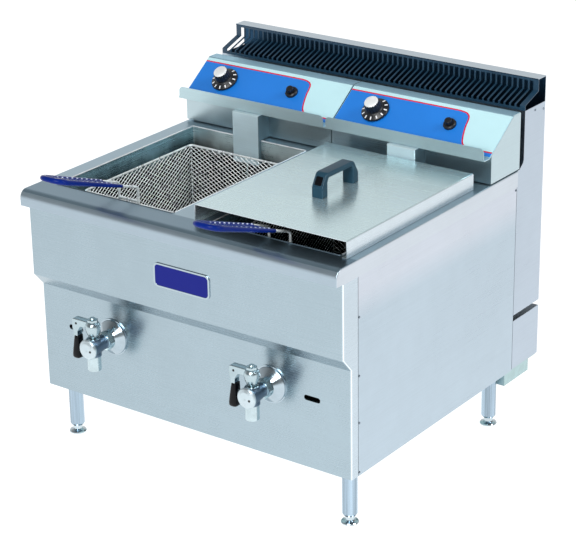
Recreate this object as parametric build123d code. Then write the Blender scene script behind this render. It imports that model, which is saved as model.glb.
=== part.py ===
from build123d import *
import math
import os

# Countertop gas deep fryer with two oil tanks side by side.
# Millimetres. +Z up, +X to the operator's right, the front faces -Y.
# All Y values below are measured back from the face of the front lip; the whole
# model is moved by -Y_MID when it is written, so that the frame's origin is on
# the floor under the middle of the bounding box.

# ---------------------------------------------------------------- sizes
WIDTH = 640.0            # across the deck
HALF = WIDTH / 2
SHEET = 1.2              # stainless sheet thickness
PANEL_X = HALF - SHEET   # outer face of the side panels

LEG_H = 100.0            # floor to the underside of the body
Z_DECK = 469.0           # top of the deck
Z_LIP = 442.0            # underside of the bull-nosed front lip
Z_FLANGE = 441.0         # lower edge of the deck's side flanges
NOSE_R = 14.0            # bull nose of the deck
Y_APRON = 18.0           # apron face behind the lip face
Z_APRON = 313.0          # lower edge of the apron
Y_LOWER = 39.5           # recessed lower front panel
Z_LOWER = 289.0          # top of the recessed lower front panel
Y_SEAM = 57.5            # seam between the front panel and the side panels
Y_REAR = 535.0           # seam between the side panels and the flue column
Y_BACK = 623.0           # back of the flue column
Z_TOP = 614.0            # top of the flue

TANK_X = 163.0           # tank centre, left and right
TANK_W = 250.0
TANK_Y0 = 55.5
TANK_Y1 = 424.5
TANK_R = 3.0

UNIT_X = 160.0           # control unit centre, left and right
UNIT_W = 318.4
BOX_Y0 = 447.0           # recessed front wall of a control box
BOX_Y1 = 540.0
COLUMN_Y = 555.0         # front wall of the flue column above the deck
SLOPE = math.radians(35.0)
FAS_Y0, FAS_Z0 = 441.0, 518.5      # foot of the sloping fascia
FAS_Y1, FAS_Z1 = 517.0, 571.7      # head of the sloping fascia
LIP_Y = 424.5            # drip lip of the fascia
LIP_Z = 538.6
KNOB_DX = {"left": -94.0, "right": -89.5}    # knob, from the unit's centre
IGN_DX = {"left": 52.0, "right": 58.0}       # igniter, from the unit's centre
KNOB_S, IGN_S = 46.5, 49.0         # up the slope from the fascia's foot
FILM_S0, FILM_S1 = 2.0, 90.0       # printed film, up the slope
SLOT_X = (-246.5, 244.0)           # sight slots in the lower front panel

TAP_X, TAP_Z = 164.0, 227.0
TAP_Y = -10.0            # axis of the tap's vertical plug

BASKET_W, BASKET_L = 207.0, 291.0
BASKET_TOP, BASKET_BOTTOM = 446.0, 321.9
BASKET_Y = {"left": 98.0, "right": 74.0}     # front wall of each basket
WIRE_R = 2.5
WIRE_DX = 20.5
HANDLE_TILT = math.radians(19.0)

LID_X0, LID_X1, LID_Y0, LID_Y1 = 14.0, 306.0, 47.0, 413.0
LID_TOP = 498.5
BADGE_W, BADGE_H = 114.0, 42.0   # plain plate
LID_BASE = Z_DECK + 0.4

LEG_X, LEG_Y0, LEG_Y1 = 290.0, 76.0, 508.0
LEG_R = 12.7

GAS_X, GAS_Z = 200.0, 135.0
GAS_R = 10.48            # outside radius of a half-inch pipe thread
GAS_END = 648.0

GRIP_LEN = 162.0         # basket grip, along the handle
GRIP_END = 206.0         # tip of the grip, along the handle from its bend
GRIP_T = 9.6             # thickness of the grip

# ---------------------------------------------------------------- helpers
C3 = (Align.CENTER, Align.CENTER, Align.CENTER)
CCM = (Align.CENTER, Align.CENTER, Align.MIN)


def block(x0, x1, y0, y1, z0, z1):
    b = Box(abs(x1 - x0), abs(y1 - y0), abs(z1 - z0), align=C3)
    return Pos((x0 + x1) / 2, (y0 + y1) / 2, (z0 + z1) / 2) * b


def prism_x(points, x0, x1):
    wire = Polyline(*[(x0, y, z) for y, z in points], close=True)
    return extrude(make_face(wire), amount=x1 - x0, dir=(1, 0, 0))


def prism_z(points, z0, z1):
    wire = Polyline(*[(x, y, z0) for x, y in points], close=True)
    return extrude(make_face(wire), amount=z1 - z0, dir=(0, 0, 1))


def rod(p0, p1, r):
    v = Vector(*p1) - Vector(*p0)
    return Plane(origin=p0, z_dir=v.normalized()) * Cylinder(r, v.length, align=CCM)


def lathe(points, origin, zdir, xdir=(1, 0, 0)):
    wire = Polyline(*[(r, 0, h) for r, h in points], close=True)
    body = revolve(make_face(wire), Axis.Z, 360)
    return Plane(origin=origin, x_dir=xdir, z_dir=zdir) * body


def pipe(points, r, bend):
    path = FilletPolyline(*points, radius=bend)
    face = Plane(origin=path @ 0, z_dir=path % 0) * Circle(r)
    return sweep(face, path=path)


def rounded_plate(cx, cy, w, l, r, z0, z1):
    return Pos(cx, cy, z0) * extrude(RectangleRounded(w, l, r), amount=z1 - z0)


def soften(shape, edges, r):
    try:
        out = fillet(edges, r)
        if out.is_valid:
            return out
    except Exception as err:
        print("kept sharp:", type(err).__name__)
    return shape


def edges_at(shape, test):
    return [e for e in shape.edges() if test(e)]


parts = {}

# ---------------------------------------------------------------- deck
deck = block(-HALF, HALF, 0, Y_REAR, Z_FLANGE, Z_DECK)
nose = edges_at(deck, lambda e: abs(e.center().Y) < 0.01 and abs(e.center().Z - Z_DECK) < 0.01)
deck = soften(deck, nose, NOSE_R)
rim = edges_at(deck, lambda e: abs(abs(e.center().X) - HALF) < 0.01 and e.center().Z > Z_FLANGE + 12
               and e.center().Y < Y_REAR - 1)
deck = soften(deck, rim, 2.0)
hollow = block(-PANEL_X, PANEL_X, SHEET, Y_REAR + 10, Z_FLANGE - 10, Z_DECK - SHEET)
inner_nose = edges_at(hollow, lambda e: abs(e.center().Y - SHEET) < 0.01 and abs(e.center().Z - Z_DECK + SHEET) < 0.01)
hollow = soften(hollow, inner_nose, NOSE_R - SHEET)
hollow = hollow - block(-HALF, HALF, -5, Y_APRON, Z_FLANGE - 20, Z_LIP + SHEET)
deck = deck - hollow
deck = deck - block(-HALF - 1, HALF + 1, -5, Y_APRON, Z_FLANGE - 5, Z_LIP)
deck = deck + block(-PANEL_X + 1.6, PANEL_X - 1.6, Y_REAR - 2, COLUMN_Y, Z_DECK - SHEET, Z_DECK)
for side in (-1, 1):
    deck = deck - rounded_plate(side * TANK_X, (TANK_Y0 + TANK_Y1) / 2, TANK_W, TANK_Y1 - TANK_Y0, TANK_R,
                                Z_DECK - 10, Z_DECK + 5)
for px in (-299.0, 21.0):
    deck = deck - block(px - 7, px + 7, 484, 526, Z_DECK - 5, Z_DECK + 5)
parts["deck"] = deck

# ---------------------------------------------------------------- front panel
prof = [(Y_APRON, 462), (Y_APRON, Z_APRON), (Y_LOWER, Z_LOWER), (Y_LOWER, LEG_H), (Y_SEAM, LEG_H), (Y_SEAM, 462)]
front = prism_x(prof, -PANEL_X, PANEL_X)
corners = edges_at(front, lambda e: abs(abs(e.center().X) - PANEL_X) < 0.01 and e.center().Y < Y_LOWER + 0.01
                   and e.center().Z > LEG_H + 1 and e.center().Z < 461)
front = soften(front, corners, 4.0)
inner = [(Y_APRON + SHEET, 470), (Y_APRON + SHEET, Z_APRON + 0.55), (Y_LOWER + SHEET, Z_LOWER + 0.55),
         (Y_LOWER + SHEET, LEG_H + SHEET), (Y_SEAM + 5, LEG_H + SHEET), (Y_SEAM + 5, 470)]
core = prism_x(inner, -PANEL_X + SHEET, PANEL_X - SHEET)
corners = edges_at(core, lambda e: abs(abs(e.center().X) - PANEL_X + SHEET) < 0.01 and e.center().Y < Y_LOWER + SHEET + 0.01
                   and e.center().Z > LEG_H + 3)
core = soften(core, corners, 2.8)
front = front - core
for side in (-1, 1):
    front = front - rod((side * TAP_X, Y_LOWER - 5, TAP_Z), (side * TAP_X, Y_LOWER + 5, TAP_Z), 11.5)
for sx in SLOT_X:
    slot = Plane(origin=(sx, Y_LOWER - 5, 222.0), x_dir=(1, 0, 0), z_dir=(0, 1, 0)) * SlotOverall(31.0, 9.0)
    front = front - extrude(slot, amount=10)
parts["front_panel"] = front

# ---------------------------------------------------------------- side panels and base
for name, s in (("left", -1), ("right", 1)):
    parts[name + "_side_panel"] = block(s * (PANEL_X - SHEET), s * PANEL_X, Y_SEAM + 1.0, Y_REAR - 1.0, LEG_H, Z_DECK - SHEET - 2)

base = block(-PANEL_X + SHEET, PANEL_X - SHEET, Y_SEAM + 0.5, Y_BACK - 4, LEG_H, LEG_H + SHEET)
for s in (-1, 1):
    x0, x1 = sorted((s * (PANEL_X - SHEET), s * (PANEL_X - 2 * SHEET)))
    base = base + block(x0, x1, Y_SEAM + 0.5, Y_REAR - 4, LEG_H, LEG_H + 22)
    base = base - block(s * TANK_X - 80, s * TANK_X + 80, 190, 400, LEG_H - 5, LEG_H + 5)
parts["base_pan"] = base

# galvanised channel across the back of the underside
CH_X, CH_Y0, CH_Y1, CH_Z = 311.0, 524.0, 606.0, 72.0
chan = block(-CH_X, CH_X, CH_Y0, CH_Y1, CH_Z, LEG_H)
chan = chan - block(-CH_X + SHEET, CH_X - SHEET, CH_Y0 + SHEET, CH_Y1 - SHEET, CH_Z + SHEET, LEG_H + 5)
parts["rear_base_channel"] = chan

# ---------------------------------------------------------------- legs and feet
legs = None
for lx, ly in ((-LEG_X, LEG_Y0), (LEG_X, LEG_Y0), (-LEG_X, LEG_Y1), (LEG_X, LEG_Y1)):
    sleeve = lathe([(7.55, 15), (10.6, 15), (LEG_R, 18.5), (LEG_R, LEG_H), (7.55, LEG_H)], (lx, ly, 0), (0, 0, 1))
    legs = sleeve if legs is None else legs + sleeve
parts["leg_sleeves"] = legs
for name, lx, ly in (("front_left", -LEG_X, LEG_Y0), ("front_right", LEG_X, LEG_Y0),
                     ("rear_left", -LEG_X, LEG_Y1), ("rear_right", LEG_X, LEG_Y1)):
    parts[name + "_foot"] = lathe([(0, 0), (13.0, 0), (15.0, 1.2), (15.0, 3.0), (13.6, 4.4), (10.0, 5.6), (7.5, 7.2),
                                   (7.5, 74), (6.5, 76), (0, 76)], (lx, ly, 0), (0, 0, 1))

# ---------------------------------------------------------------- oil tanks
TANK_PROFILE = [(TANK_Y0, Z_DECK + 5), (TANK_Y1, Z_DECK + 5), (TANK_Y1, 297.0), (170.0, 266.0), (120.0, 213.0), (TANK_Y0, 213.0)]
TANK_OUTER = [(TANK_Y0 - SHEET, Z_DECK - SHEET), (TANK_Y1 + SHEET, Z_DECK - SHEET), (TANK_Y1 + SHEET, 295.8),
              (170.4, 264.8), (120.5, 211.8), (TANK_Y0 - SHEET, 211.8)]
for name, s in (("left", -1), ("right", 1)):
    cx = s * TANK_X
    cav = prism_x(TANK_PROFILE, cx - TANK_W / 2, cx + TANK_W / 2)
    cav = soften(cav, edges_at(cav, lambda e: abs(e.center().X - cx) > TANK_W / 2 - 0.01 and
                               abs((e @ 0).Z - (e @ 1).Z) > 150), TANK_R)
    out = prism_x(TANK_OUTER, cx - TANK_W / 2 - SHEET, cx + TANK_W / 2 + SHEET)
    out = soften(out, edges_at(out, lambda e: abs(e.center().X - cx) > TANK_W / 2 and
                               abs((e @ 0).Z - (e @ 1).Z) > 150), TANK_R + SHEET)
    ty = (TANK_Y0 + TANK_Y1) / 2
    out = out + rounded_plate(cx, ty, TANK_W + 18, TANK_Y1 - TANK_Y0 + 18, TANK_R + 9, Z_DECK - 2 * SHEET, Z_DECK - SHEET)
    out = out + rod((s * TAP_X, 12, TAP_Z), (s * TAP_X, TANK_Y0 - 0.2, TAP_Z), 10.5)
    out = out - cav
    out = out - rod((s * TAP_X, 5, TAP_Z), (s * TAP_X, TANK_Y0 + 5, TAP_Z), 8.0)
    parts[name + "_tank"] = out

# perforated plates that the baskets stand on, each with two leg strips on the sloping floor
def floor_z(y):
    return 266.0 + (y - 170.0) * 31.0 / 254.5 + 0.2


racks = []
for s in (-1, 1):
    cx = s * TANK_X
    plate = block(cx - 116, cx + 116, 76, 408, 320.0, 321.5)
    for ix in range(5):
        for iy in range(5):
            sx, sy = cx + (ix - 2) * 42, 112 + iy * 62
            plate = plate - rounded_plate(sx, sy, 22, 44, 10, 315, 325)
    racks.append(plate)
    for q in (-1, 1):
        xa, xb = sorted((cx + q * 108, cx + q * 106.5))
        racks.append(prism_x([(190, 319.9), (396, 319.9), (396, floor_z(396)), (340, floor_z(340)), (330, 308), (270, 308),
                              (260, floor_z(260)), (190, floor_z(190))], xa, xb))
rack_set = racks[0]
for piece in racks[1:]:
    rack_set = rack_set + piece
parts["rest_racks"] = rack_set

# ---------------------------------------------------------------- drain taps
HUB_Z = 262.0
for name, s in (("left", -1), ("right", 1)):
    tx = s * TAP_X
    # pressed escutcheon against the panel
    parts[name + "_tap_escutcheon"] = lathe(
        [(11.2, 14.0), (15.6, 14.0), (16.6, 13.3), (29.6, 4.0), (30.2, 2.0), (32.2, 1.8), (32.2, 0), (28.9, 0), (28.7, 2.9),
         (16.0, 12.0), (15.2, 12.6), (11.2, 12.6)], (tx, Y_LOWER, TAP_Z), (0, -1, 0))
    # cast body: hexagon, tapered neck, vertical plug chamber and spout
    hexagon = Plane(origin=(tx, 25.0, TAP_Z), x_dir=(1, 0, 0), z_dir=(0, -1, 0)) * RegularPolygon(14.0, 6, major_radius=False)
    body = extrude(hexagon, amount=10.5)
    body = body + lathe([(0, 0), (12.6, 0), (12.6, 2.0), (11.9, 2.6), (16.4, 36.0), (16.4, 37.1), (0, 37.1)], (tx, 14.6, TAP_Z), (0, -1, 0))
    body = body + lathe([(0, 210), (11.2, 210), (12.4, 212), (12.4, 240.6), (11.4, 242.4), (9.4, 243.6), (0, 243.6)], (tx, TAP_Y, 0), (0, 0, 1))
    body = body + lathe([(0, 186), (10.7, 186), (11.6, 187.4), (11.6, 216), (0, 216)], (tx, TAP_Y - 0.8, 0), (0, 0, 1))
    body = body - rod((tx, TAP_Y, 213.0), (tx, TAP_Y, 238.6), 9.05)
    body = body - rod((tx, TAP_Y, 238.0), (tx, TAP_Y, 250.0), 5.05)
    body = body - rod((tx, TAP_Y, TAP_Z), (tx, 30, TAP_Z), 7.5)
    body = body - rod((tx, 11.5, TAP_Z), (tx, 30, TAP_Z), 10.6)
    body = body - rod((tx, TAP_Y - 0.8, 180.0), (tx, TAP_Y - 0.8, 206.0), 9.0)
    body = body - rod((tx, TAP_Y, 204.0), (tx, TAP_Y, 214.0), 5.8)
    parts[name + "_tap_body"] = body
    # plug with an elbow port, stem, cast lever hooked down at its end, and top nut
    plug = rod((tx, TAP_Y, 213.3), (tx, TAP_Y, 238.3), 9.0)
    plug = plug - rod((tx, TAP_Y, TAP_Z), (tx + 12, TAP_Y, TAP_Z), 6.0)
    plug = plug - rod((tx, TAP_Y, 210.0), (tx, TAP_Y, TAP_Z), 5.8)
    plug = plug + rod((tx, TAP_Y, 238.0), (tx, TAP_Y, HUB_Z + 12), 5.0)
    arm = lathe([(0, 244.4), (7.6, 244.4), (8.6, 246.4), (11.8, 255), (13.0, 260.5), (12.6, 265.5), (10.6, 269.8), (8.2, 272), (0, 272)],
                (tx, TAP_Y, 0), (0, 0, 1))
    hook = [(tx + 1, HUB_Z + 10), (tx - 38.5, HUB_Z + 10), (tx - 40.5, HUB_Z + 8), (tx - 40.5, HUB_Z - 8), (tx - 38.6, HUB_Z - 12), (tx - 38.4, 207),
            (tx - 30.0, 207), (tx - 29.2, HUB_Z - 12), (tx - 24.0, HUB_Z - 3), (tx + 1, HUB_Z - 3)]
    wire = Polyline(*[(x, TAP_Y + 6.5, z) for x, z in hook], close=True)
    arm = arm + extrude(make_face(wire), amount=13.0, dir=(0, -1, 0))
    nut = Plane(origin=(tx, TAP_Y, HUB_Z + 10.0), z_dir=(0, 0, 1)) * RegularPolygon(8.0, 6, major_radius=False)
    arm = arm + extrude(nut, amount=5.0)
    arm = arm + lathe([(0, 0), (5.0, 0), (5.0, 2.0), (4.0, 3.0), (0, 3.0)], (tx, TAP_Y, HUB_Z + 15.0), (0, 0, 1))
    parts[name + "_tap_lever"] = plug + arm
    # moulded sleeve on the lever's end
    grip = block(tx - 42.5, tx - 24.6, TAP_Y - 9.0, TAP_Y + 9.0, 200.0, 240.0)
    grip = soften(grip, grip.edges(), 3.2)
    tang = Polyline(*[(x, TAP_Y + 6.5, z) for x, z in hook], close=True)
    grip = grip - extrude(make_face(tang), amount=13.0, dir=(0, -1, 0))
    parts[name + "_tap_grip"] = grip

# screwed front caps of the taps
caps = None
for s in (-1, 1):
    cap = lathe([(0, 0), (16.8, 0), (17.5, 0.6), (17.5, 3.0), (16.0, 5.0), (11.0, 6.7), (0, 7.3)], (s * TAP_X, TAP_Y - 12.5, TAP_Z), (0, -1, 0))
    caps = cap if caps is None else caps + cap
parts["tap_caps"] = caps

# ---------------------------------------------------------------- control units
DY, DZ = math.cos(SLOPE), math.sin(SLOPE)
NORMAL = (0.0, -DZ, DY)


def on_fascia(x, s, h):
    return (x, FAS_Y0 + s * DY - h * DZ, FAS_Z0 + s * DZ + h * DY)


def axis_plane(x, s, h):
    return Plane(origin=on_fascia(x, s, h), x_dir=(1, 0, 0), z_dir=NORMAL)


sensors = None
ign_bodies = None
for name, s in (("left", -1), ("right", 1)):
    ux = s * UNIT_X
    x0, x1 = ux - UNIT_W / 2, ux + UNIT_W / 2
    xk, xi, xg = ux + KNOB_DX[name], ux + IGN_DX[name], s * TANK_X
    # housing: side walls, front wall, back wall, foot flange and inset plinth
    side_prof = [(BOX_Y0, 471.5), (BOX_Y0, 520.9), (FAS_Y1 + 0.6, 570.3), (BOX_Y1, 570.3), (BOX_Y1, 471.5)]
    box = prism_x(side_prof, x0, x0 + SHEET) + prism_x(side_prof, x1 - SHEET, x1)
    box = box + block(x0, x1, BOX_Y0, BOX_Y0 + SHEET, 471.5, 520.9)
    box = box + block(x0, x1, BOX_Y1 - SHEET, BOX_Y1, 471.5, 570.3)
    foot = block(x0, x1, BOX_Y0, BOX_Y1, 471.5, 472.7) + block(x0 + 8, x1 - 8, BOX_Y0 + 8, BOX_Y1 - 8, Z_DECK, 472.0)
    foot = foot - block(x0 + 12, x1 - 12, BOX_Y0 + 12, BOX_Y1 - 12, Z_DECK - 5, 480)
    box = box + foot
    box = box - rod((xg, BOX_Y0 - 5, 500), (xg, BOX_Y0 + 5, 500), 4.0)
    parts[name + "_control_box"] = box
    # fascia: drip lip, gutter, sloping face and top flange in one bent sheet
    fas_prof = [(LIP_Y, LIP_Z), (LIP_Y, 517.3), (441.37, 517.3), (517.35, 570.5), (538, 570.5), (538, FAS_Z1), (FAS_Y1, FAS_Z1),
                (FAS_Y0, FAS_Z0), (LIP_Y + SHEET, FAS_Z0), (LIP_Y + SHEET, LIP_Z)]
    fas = prism_x(fas_prof, x0, x1)
    for xe, q in ((x0, 1), (x1, -1)):
        corner = [(xe + (1.8 + 8 * (1 - math.cos(math.radians(t)))) * q, LIP_Z - 8 + 8 * math.sin(math.radians(t))) for t in range(0, 91, 15)]
        edge = [(xe - q, 520.0), (xe + 1.8 * q, 520.0)] + corner + [(xe + 9.8 * q, LIP_Z + 1), (xe - q, LIP_Z + 1)]
        end = Polyline(*[(x, LIP_Y - 2, z) for x, z in edge], close=True)
        fas = fas - extrude(make_face(end), amount=6, dir=(0, 1, 0))
    fas = fas - axis_plane(xk, KNOB_S, 0) * Cylinder(5.6, 12, align=C3)
    fas = fas - axis_plane(xi, IGN_S, 0) * Cylinder(8.2, 12, align=C3)
    parts[name + "_fascia"] = fas
    # printed film on the sloping face
    film = Plane(origin=on_fascia(ux, (FILM_S0 + FILM_S1) / 2, 0.0), x_dir=(1, 0, 0), z_dir=NORMAL) * Box(UNIT_W - 1.2, FILM_S1 - FILM_S0, 0.3, align=CCM)
    film = film - axis_plane(xk, KNOB_S, 0) * Cylinder(6.4, 12, align=C3)
    film = film - axis_plane(xi, IGN_S, 0) * Cylinder(8.8, 12, align=C3)
    parts[name + "_label_film"] = film
    # thermostatic gas valve with its bush through the fascia
    valve = axis_plane(xk, KNOB_S, -10) * Box(60, 44, 46, align=(Align.CENTER, Align.CENTER, Align.MAX))
    valve = valve + axis_plane(xk, KNOB_S, -12) * Cylinder(5.4, 13.4, align=CCM)
    valve = valve + axis_plane(xk, KNOB_S, -11) * Cylinder(10.0, 5.0, align=CCM)
    valve = valve - axis_plane(xk, KNOB_S, -40) * Cylinder(3.05, 60, align=CCM)
    parts[name + "_gas_valve"] = valve
    # thermostat knob: flared skirt, turned body and spindle
    knob = lathe([(0, -38), (3.0, -38), (3.0, 2.4), (23.6, 2.4), (24.8, 3.4), (25.0, 5.0), (24.0, 7.2), (16.5, 9.6), (14.2, 11.2),
                  (13.4, 25.2), (12.4, 26.6), (0, 26.6)], on_fascia(xk, KNOB_S, 0), NORMAL)
    parts[name + "_knob"] = knob
    # piezo igniter: barrel behind the fascia, collar in front, sprung button
    piezo = lathe([(0, -52), (8.0, -52), (8.0, 0.4), (10.8, 0.4), (11.4, 1.2), (11.0, 4.6), (8.6, 6.2), (6.7, 6.2), (6.7, -20), (0, -20)],
                  on_fascia(xi, IGN_S, 0), NORMAL)
    ign_bodies = piezo if ign_bodies is None else ign_bodies + piezo
    parts[name + "_igniter_button"] = lathe([(0, -12), (6.5, -12), (6.5, 13.0), (5.8, 14.2), (3.0, 14.8), (0, 14.9)],
                                            on_fascia(xi, IGN_S, 0), NORMAL)
    # probe guard: folded cover from the control box down into the tank
    gx0, gx1 = xg - 28.5, xg + 28.5
    guard_side = [(415.0, 425.0), (423.4, 425.0), (423.4, 470.6), (BOX_Y0, 470.6), (BOX_Y0, 516.6), (415.0, 516.6)]
    guard = prism_x(guard_side, gx0, gx1)
    guard = soften(guard, edges_at(guard, lambda e: abs(e.center().Y - 415.0) < 0.01 and
                                   (abs(e.center().Z - 516.6) < 0.01 or abs(abs(e.center().X - xg) - 28.5) < 0.01)), 1.8)
    core = [(415.0 + SHEET, 420.0), (460, 420.0), (460, 516.6 - SHEET), (415.0 + SHEET, 516.6 - SHEET)]
    guard = guard - prism_x(core, gx0 + SHEET, gx1 - SHEET)
    parts[name + "_probe_guard"] = guard
    # temperature bulb and its capillary to the valve
    bulb = lathe([(0, 336), (2.0, 336), (3.0, 337.5), (3.0, 430), (1.4, 434), (0, 434)], (xg, 419.9, 0), (0, 0, 1))
    end = on_fascia(xk + 30, KNOB_S, -33)
    cap_line = pipe([(xg, 419.9, 432), (xg, 419.9, 500), (xg, 468, 500), (xk + 62, end[1], end[2]), end], 1.25, 12.0)
    bulb = bulb + cap_line
    sensors = bulb if sensors is None else sensors + bulb
parts["igniter_bodies"] = ign_bodies
parts["temperature_probes"] = sensors

# ---------------------------------------------------------------- flue column
Z_SLIT1 = 204.5          # lower edge of the column, above the ventilation slit
Z_SLIT0 = 193.5          # top of the lower rear cover
Z_GRILLE = 569.0
col_side = [(Y_REAR, Z_SLIT1), (Y_REAR, Z_DECK + 0.6), (Y_REAR + 7, Z_DECK + 0.6), (COLUMN_Y - 2, Z_DECK + 9), (COLUMN_Y, Z_DECK + 15),
            (COLUMN_Y, Z_GRILLE), (Y_BACK - SHEET, Z_GRILLE), (Y_BACK - SHEET, Z_SLIT1)]
column = prism_x(col_side, -PANEL_X, -PANEL_X + SHEET) + prism_x(col_side, PANEL_X - SHEET, PANEL_X)
column = column + block(-PANEL_X, PANEL_X, COLUMN_Y, COLUMN_Y + SHEET, Z_DECK - 1.2, Z_GRILLE)
parts["flue_column"] = column

rear = block(-PANEL_X, PANEL_X, Y_BACK - SHEET, Y_BACK, Z_SLIT1, Z_TOP)
rear = rear + block(-PANEL_X, PANEL_X, 597.0, Y_BACK, Z_TOP - SHEET, Z_TOP)
parts["flue_rear_panel"] = rear

# slotted grille: upper upright, forward slope and short front upright in one bent sheet
GA, GB, GC, GD = (598.4, Z_TOP - SHEET), (598.4, 592.5), (COLUMN_Y, 578.0), (COLUMN_Y, Z_GRILLE)
gt = 1.5
gril = [GA, GB, GC, GD, (GD[0] + gt, GD[1]), (GC[0] + gt, GC[1] - 0.6), (GB[0] + gt, GB[1] - 0.6), (GA[0] + gt, GA[1])]
grille = prism_x(gril, -PANEL_X + 0.4, PANEL_X - 0.4)
cutter = [(GA[0] - 3, 608.5), (GB[0] - 3, GB[1] + 2), (GC[0] - 3, GC[1] + 2), (GC[0] - 3, 573.4), (GD[0] + gt + 3, 573.4),
          (GC[0] + gt + 3, GC[1] - 2.6), (GB[0] + gt + 3, GB[1] - 2.6), (GA[0] + gt + 3, 608.5)]
PITCH, N_SLOT, SLOT_W = 10.5, 59, 7.4
tools = [prism_x(cutter, (i - (N_SLOT - 1) / 2) * PITCH - SLOT_W / 2, (i - (N_SLOT - 1) / 2) * PITCH + SLOT_W / 2) for i in range(N_SLOT)]
grille = grille - tools
parts["flue_grille"] = grille

lower_side = [(Y_REAR, LEG_H + 2), (Y_REAR, Z_SLIT0), (Y_BACK, Z_SLIT0), (Y_BACK, LEG_H + 2)]
cover = prism_x(lower_side, -PANEL_X, PANEL_X)
cover = cover - block(-PANEL_X + SHEET, PANEL_X - SHEET, Y_REAR - 5, Y_BACK - SHEET, LEG_H - 5, Z_SLIT0 + 5)
cover = cover - rod((GAS_X, Y_BACK - 10, GAS_Z), (GAS_X, Y_BACK + 10, GAS_Z), GAS_R + 2.5)
for i in range(9):
    cover = cover - block(-240 + i * 36, -222 + i * 36, Y_BACK - 5, Y_BACK + 5, 150, 155) \
        - block(-240 + i * 36, -222 + i * 36, Y_BACK - 5, Y_BACK + 5, 164, 169)
parts["rear_service_cover"] = cover

# ---------------------------------------------------------------- fire boxes, burners and gas pipes
feeds = None
pilots = None
BURN_Z = 200.0
for name, s in (("left", -1), ("right", 1)):
    cx = s * TANK_X
    fx = 129.7
    px = -299.0 if s < 0 else 21.0
    wall = [(140, 150), (140, 226), (150, 238), (171, 262), (400, 288), (440, 300), (440, 440), (552, 440), (552, 150)]
    fire = prism_x(wall, cx - fx, cx - fx + SHEET) + prism_x(wall, cx + fx - SHEET, cx + fx)
    fire = fire + block(cx - fx, cx + fx, 140, 141.2, 150, 226)
    fire = fire + block(cx - fx, cx + fx, 440, 552, 440 - SHEET, 440)
    fire = fire + block(cx - fx, cx + fx, 440, 440 + SHEET, 380, 440)
    fire = fire - rod((px - 10, 495, BURN_Z), (cx, 495, BURN_Z), 6.0)
    parts[name + "_fire_box"] = fire
    burner = rod((cx - 84, 425, BURN_Z), (cx + 84, 425, BURN_Z), 12.0)
    for bx in (-70, 0, 70):
        burner = burner + rod((cx + bx, 141.2, BURN_Z), (cx + bx, 425, BURN_Z), 10.0)
    burner = burner + lathe([(0, 0), (12, 0), (9.5, 22), (10.5, 40), (15, 54), (15, 58), (0, 58)], (cx, 425, BURN_Z), (0, 1, 0))
    for bx in (-70, 0, 70):
        burner = burner - block(cx + bx - 1, cx + bx + 1, 160, 405, BURN_Z + 5, BURN_Z + 15)
    burner = burner - rod((cx, 440, BURN_Z), (cx, 490, BURN_Z), 6.5)
    parts[name + "_burner"] = burner
    xv = s * UNIT_X + KNOB_DX[name] - 30.0
    feed = pipe([(xv, 495, 505), (px, 495, 505), (px, 495, BURN_Z), (cx, 495, BURN_Z), (cx, 472, BURN_Z)], 4.0, 10.0)
    feeds = feed if feeds is None else feeds + feed
    pilot = block(cx + 28, cx + 44, 416, 434, BURN_Z + 12.1, BURN_Z + 14) + block(cx + 28, cx + 44, 416, 418, BURN_Z + 12.1, BURN_Z + 34)
    pilot = pilot + rod((cx + 32, 410, BURN_Z + 20), (cx + 32, 410, BURN_Z + 40), 3.0) + block(cx + 29, cx + 43, 408, 417, BURN_Z + 22, BURN_Z + 26)
    pilot = pilot + rod((cx + 40, 411, BURN_Z + 16), (cx + 40, 411, BURN_Z + 46), 2.0)
    pilots = pilot if pilots is None else pilots + pilot
parts["gas_feed_pipes"] = feeds
parts["pilot_burners"] = pilots

MAN_Y = 572.0
manifold = rod((-308, MAN_Y, GAS_Z), (GAS_X + 14, MAN_Y, GAS_Z), 13.0)
for px, xv in ((-299.0, -UNIT_X + KNOB_DX["left"] - 30.0), (21.0, UNIT_X + KNOB_DX["right"] - 30.0)):
    manifold = manifold + pipe([(xv, 514, 508), (px, 514, 508), (px, 514, GAS_Z), (px, MAN_Y, GAS_Z)], 4.0, 10.0)
manifold = manifold + rod((GAS_X, MAN_Y, GAS_Z), (GAS_X, Y_BACK + 0.5, GAS_Z), 9.5)
manifold = manifold + rod((GAS_X, Y_BACK + 0.5, GAS_Z), (GAS_X, GAS_END, GAS_Z), GAS_R)
manifold = manifold - rod((GAS_X, MAN_Y + 4, GAS_Z), (GAS_X, GAS_END + 5, GAS_Z), 7.5)
parts["gas_manifold"] = manifold

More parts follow.
